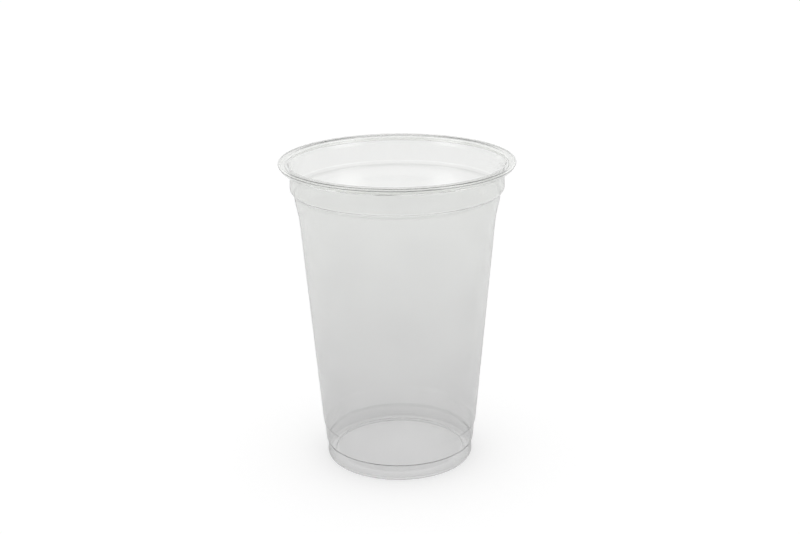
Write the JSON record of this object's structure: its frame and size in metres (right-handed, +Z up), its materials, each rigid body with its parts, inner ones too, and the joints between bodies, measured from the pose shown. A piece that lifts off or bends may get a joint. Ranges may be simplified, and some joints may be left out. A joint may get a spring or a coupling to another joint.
{
  "type": "disposable plastic cup",
  "caption": "Tapered clear plastic cold cup with a rolled rim, a lid groove, a flared shoulder and a stepped stacking foot.",
  "frame": {"origin": "centre of the ring that the cup stands on, at table height", "axes": "+Z up along the cup's axis, towards the mouth; the cup is round, so +X and +Y are free, and -Y is the pictured side"},
  "size_m": [0.095, 0.095, 0.127],
  "materials": {
    "clear_plastic": "gloss"
  },
  "bodies": {
    "root": {"cup": "clear_plastic"}
  },
  "joints": []
}
